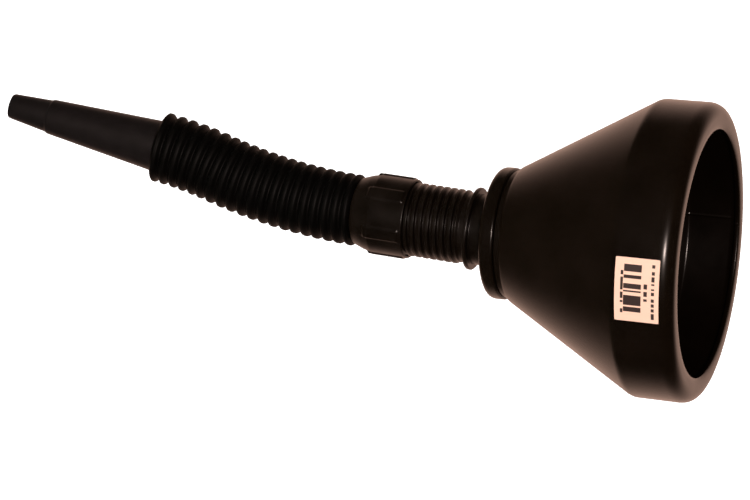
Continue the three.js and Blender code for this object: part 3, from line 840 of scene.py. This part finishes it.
class FUNNEL_OT_strainer(bpy.types.Operator):
    """Strainer: a ring with an inner ledge, a lifting tab and a woven gauze disc."""
    bl_idname = "funnel.strainer"
    bl_label = "Strainer"

    def execute(self, context):
        """Ring: a rounded outline turned round the axis. Tab: rows of one superellipse, x = a * cos^0.55 and
        z = b * sin^0.55, that shrink towards both faces. Gauze: two layers of woven wires."""
        sizes = context.scene.funnel_sizes
        low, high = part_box("strainer_ring")
        bottom = low.z / MM
        radius = high.x / MM
        band, ledge, top = radius - 3.1, radius - 5.5, bottom + 4
        outline = rounded([
            (ledge, bottom, 0.3),
            (radius, bottom, 0.3),
            (radius, top, 0.6),
            (band, top, 0.6),
            (band, bottom + 1, 0.2),
            (ledge, bottom + 1, 0.3),
        ])
        ring = solid_from_grid(
            "strainer_ring_band", turned_grid(outline, ring_angles(160)), material_of("fitting"))
        settle(ring, "strainer", "fittings_plastic", "strainer_ring")
        grid = self.tab_grid(radius - 1.5, bottom + 8.8)
        tab = solid_from_grid("strainer_tab", grid, material_of("fitting"), closed_rows=False)
        settle(tab, "strainer", "fittings_plastic")
        gauze = woven_disc(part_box("strainer_gauze"), sizes.wire_spacing, sizes.wire_radius)
        settle(gauze, "strainer", "brass_gauze", "strainer_gauze")
        return {"FINISHED"}

    def tab_grid(self, middle_y, middle_z):
        """Rows of the tab's outline, from its inner face to its outer one, with rounded edges."""
        half_width, half_height, power = 4.5, 5.5, 0.55
        scale = np.array([0.9, 0.97, 1.0, 1.0, 0.97, 0.9])
        depth = np.array([-0.9, -0.85, -0.55, 0.55, 0.85, 0.9])
        around = ring_angles(64)
        across = half_width * np.sign(np.cos(around)) * np.abs(np.cos(around)) ** power
        rise = half_height * np.sign(np.sin(around)) * np.abs(np.sin(around)) ** power
        x = scale[:, None] * across[None]
        z = scale[:, None] * rise[None]
        y = np.broadcast_to(depth[:, None], x.shape)
        return (np.stack([x, y, z], -1) + [0.0, middle_y, middle_z]) * MM


def woven_disc(box, spacing, wire):
    """Wires in two directions over a disc. Height above the middle = plus or minus 0.95 * wire radius *
    cos(pi * place / spacing). The sign turns over from one wire to the next, and it is the opposite in the
    other direction, so that each wire passes over and under those that cross it."""
    edge_gap, sides, squeeze = 0.2 * MM, 5, 0.95
    low, high = box
    reach = high.x - edge_gap
    middle = (low.z + high.z) / 2
    count = int(reach / spacing)
    offsets = np.arange(-count, count + 1) * spacing
    wires = len(offsets)
    half = np.sqrt(np.maximum(reach ** 2 - offsets ** 2, (spacing * 0.5) ** 2))
    rows = 2 * wires + 1
    per_wire = rows * sides
    along = half[:, None] * np.linspace(-1, 1, rows)[None]
    turn = ring_angles(sides)
    side_step = offsets[:, None, None] + wire * np.cos(turn)
    every_other = np.where(np.arange(wires) % 2 == 0, 1, -1)[:, None]
    grids = []
    for sign in (1, -1):
        height = middle + sign * every_other * wire * squeeze * np.cos(math.pi * along / spacing)
        lift = height[:, :, None] + wire * np.sin(turn)
        lengthwise = np.broadcast_to(along[:, :, None], lift.shape)
        crosswise = np.broadcast_to(side_step, lift.shape)
        if sign == 1:
            grids.append(np.stack([lengthwise, crosswise, lift], -1))
        else:
            grids.append(np.stack([crosswise, lengthwise, lift], -1)[:, :, ::-1])
    starts = np.arange(2 * wires) * per_wire
    quads = (grid_faces(rows, sides, False)[None] + starts[:, None, None]).reshape(-1, 4)
    ring = np.arange(sides)
    first_caps = starts[:, None] + ring[::-1]
    last_caps = starts[:, None] + per_wire - sides + ring
    faces = [tuple(face) for part in (quads, first_caps, last_caps) for face in part.tolist()]
    points = np.concatenate(grids).reshape(-1, 3)
    return mesh_object("strainer_gauze_weave", points, faces, material_of("brass"), sharp=60)


class FUNNEL_OT_label(bpy.types.Operator):
    """Label: a thin film with rounded corners, curved round the skirt, with generic printed marks."""
    bl_idname = "funnel.label"
    bl_label = "Label"

    def execute(self, context):
        """Point = radius at (angle, height). Its rows are squares with hardly rounded corners that grow from
        the middle: the unit direction over its 80-norm. u runs up the axis and v round it."""
        rows, columns, smallest, norm = 26, 160, 0.04, 80
        sunk, proud = 0.22, 0.05
        points = node_points("size_label") / MM
        angle = np.arctan2(points[:, 1], points[:, 0])
        radius = np.hypot(points[:, 0], points[:, 1]).min()
        lowest, highest = points[:, 2].min(), points[:, 2].max()
        around = ring_angles(columns)
        reach = (np.abs(np.cos(around)) ** norm + np.abs(np.sin(around)) ** norm) ** (1 / norm)
        scale = np.concatenate([np.linspace(smallest, 1, rows), np.linspace(1, smallest, rows)])
        level = np.concatenate([np.full(rows, radius + proud), np.full(rows, radius - sunk)])
        u = scale[:, None] * (np.cos(around) / reach)[None]
        v = scale[:, None] * (np.sin(around) / reach)[None]
        turn = (angle.max() + angle.min()) / 2 + (angle.max() - angle.min()) / 2 * v
        height = (lowest + highest) / 2 + (highest - lowest) / 2 * u
        grid = np.stack([level[:, None] * np.cos(turn), level[:, None] * np.sin(turn), height], -1) * MM
        label = solid_from_grid("label_film", grid, material_of("film"), closed_rows=False, sharp=50)
        self.lay_out(label.data, u, v)
        settle(label, "bowl", "label_film", "size_label")
        return {"FINISHED"}

    def lay_out(self, mesh, u, v):
        """Gives each face corner its point's u and v, moved to the range 0 to 1. The two hubs lie at 0.5."""
        corner_points = np.empty(len(mesh.loops), np.int32)
        mesh.loops.foreach_get("vertex_index", corner_points)
        hubs = np.zeros((2, 2))
        uv_of_point = np.vstack([np.stack([u, v], -1).reshape(-1, 2), hubs]) / 2 + 0.5
        layer = mesh.uv_layers.new(name="label_uv")
        layer.data.foreach_set("uv", uv_of_point[corner_points].astype(np.float32).ravel())


class FUNNEL_OT_stage(bpy.types.Operator):
    """Stage: pale floor, warm surround, a small lamp beside the camera, and the camera."""
    bl_idname = "funnel.stage"
    bl_label = "Stage"

    def execute(self, context):
        """The camera looks at the bowl from its side, a little above the rim. It is rolled so that the bowl's
        axis lies nearly level in the frame and the spout points left."""
        scene = context.scene
        lean, roll = math.radians(20.2), math.radians(6.03)
        camera_place = Vector((0.0165, -1.3506, 0.4271))
        back = Vector((0, -math.cos(lean), math.sin(lean)))
        bowl_way = Vector((0, math.sin(lean), math.cos(lean)))
        right = bowl_way * math.cos(roll) + back.cross(bowl_way) * math.sin(roll)
        turn = Matrix((right, back.cross(right), back)).transposed()
        lens = bpy.data.cameras.new("studio_camera")
        lens.sensor_width = 36
        lens.lens = 124.8
        lens.clip_start, lens.clip_end = 0.05, 50
        camera = add_object("studio_camera", lens)
        camera.matrix_world = Matrix.Translation(camera_place) @ turn.to_4x4()
        scene.camera = camera
        surround(scene, -back)
        scene.view_settings.view_transform = "Standard"
        scene.view_settings.look = "None"
        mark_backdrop(self.floor(), self.lamp_by(camera_place), self.overhead_wash())
        return {"FINISHED"}

    def floor(self):
        """A lit table top, far enough below the spout to lay no glow on it."""
        half_width, drop = 9, 0.3
        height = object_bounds()[0].z - drop
        corners = np.array([(-1, -1), (1, -1), (1, 1), (-1, 1)]) * half_width
        points = np.column_stack([corners, np.full(4, height)])
        floor = mesh_object("stage_floor", points, [(0, 1, 2, 3)], studio_floor())
        floor.visible_glossy = False
        return floor

    def lamp_by(self, camera_place):
        """A small warm disc just above the camera, turned to the middle of the bowl."""
        spot = camera_place + Vector((0.03, 0.02, 0.06))
        towards = Vector((0, 0, 0.02)) - spot
        disc = bpy.data.lights.new("lamp_at_camera", "AREA")
        disc.shape = "DISK"
        disc.size = 0.1
        disc.energy = 7.9
        disc.color = (1.0, 0.8, 0.72)
        lamp = add_object("lamp_at_camera", disc)
        turn = towards.to_track_quat("-Z", "Y").to_matrix()
        lamp.matrix_world = Matrix.Translation(spot) @ turn.to_4x4()
        lamp.visible_camera = False
        return lamp

    def overhead_wash(self):
        """Broad soft light from above, which opens up the inside of the bowl and makes no highlight."""
        sky = bpy.data.lights.new("overhead_wash", "SUN")
        sky.energy = 2.2
        sky.angle = math.radians(40)
        wash = add_object("overhead_wash", sky)
        wash.visible_glossy = False
        return wash


def surround(scene, forward):
    """World light: a warm bright backdrop round the direction that lies behind the object, fading to a dim
    room on the other side. The camera itself sees a plain pale backdrop."""
    dim_room = (0.012, 0.008, 0.006, 1)
    lit_backdrop = (0.95, 0.6, 0.47, 1)
    seen_backdrop = (0.96, 0.96, 0.96, 1)
    world = bpy.data.worlds.new("studio_surround")
    scene.world = world
    world.use_nodes = True
    tree = world.node_tree
    room = tree.nodes["Background"]
    place = add_node(tree, "ShaderNodeTexCoord")
    facing = add_node(
        tree, "ShaderNodeVectorMath",
        {"operation": "DOT_PRODUCT", 1: tuple(forward)},
        {0: place.outputs["Generated"]},
    )
    ramp = add_node(tree, "ShaderNodeValToRGB", links={"Fac": facing.outputs["Value"]})
    ramp.color_ramp.interpolation = "EASE"
    first, last = ramp.color_ramp.elements
    first.position, first.color = 0.35, dim_room
    last.position, last.color = 0.97, lit_backdrop
    tree.links.new(ramp.outputs["Color"], room.inputs["Color"])
    room.inputs["Strength"].default_value = 1.0
    backdrop = add_node(tree, "ShaderNodeBackground", {"Color": seen_backdrop, "Strength": 1.0})
    path = add_node(tree, "ShaderNodeLightPath")
    mix = add_node(tree, "ShaderNodeMixShader", links={
        0: path.outputs["Is Camera Ray"],
        1: room.outputs["Background"],
        2: backdrop.outputs["Background"],
    })
    tree.links.new(mix.outputs["Shader"], tree.nodes["World Output"].inputs["Surface"])


class FUNNEL_PT_panel(bpy.types.Panel):
    """Lists the sizes, the colours and the steps that build the funnel."""
    bl_idname = "FUNNEL_PT_panel"
    bl_label = "Funnel"
    bl_space_type = "VIEW_3D"
    bl_region_type = "UI"
    bl_category = "Funnel"

    def draw(self, context):
        sizes = context.scene.funnel_sizes
        for name in FunnelSizes.__annotations__:
            self.layout.prop(sizes, name)
        for step in STEPS:
            self.layout.operator(step.bl_idname)


STEPS = (
    FUNNEL_OT_bowl,
    FUNNEL_OT_collar,
    FUNNEL_OT_neck,
    FUNNEL_OT_nut,
    FUNNEL_OT_hose,
    FUNNEL_OT_nozzle,
    FUNNEL_OT_strainer,
    FUNNEL_OT_label,
    FUNNEL_OT_stage,
)
CLASSES = (FunnelSizes, *STEPS, FUNNEL_PT_panel)


def register():
    for one in CLASSES:
        bpy.utils.register_class(one)
    bpy.types.Scene.funnel_sizes = bpy.props.PointerProperty(type=FunnelSizes)


def unregister():
    del bpy.types.Scene.funnel_sizes
    for one in reversed(CLASSES):
        bpy.utils.unregister_class(one)


def main():
    register()
    for step in STEPS:
        group, name = step.bl_idname.split(".")
        getattr(getattr(bpy.ops, group), name)()


if __name__ == "__main__":
    main()
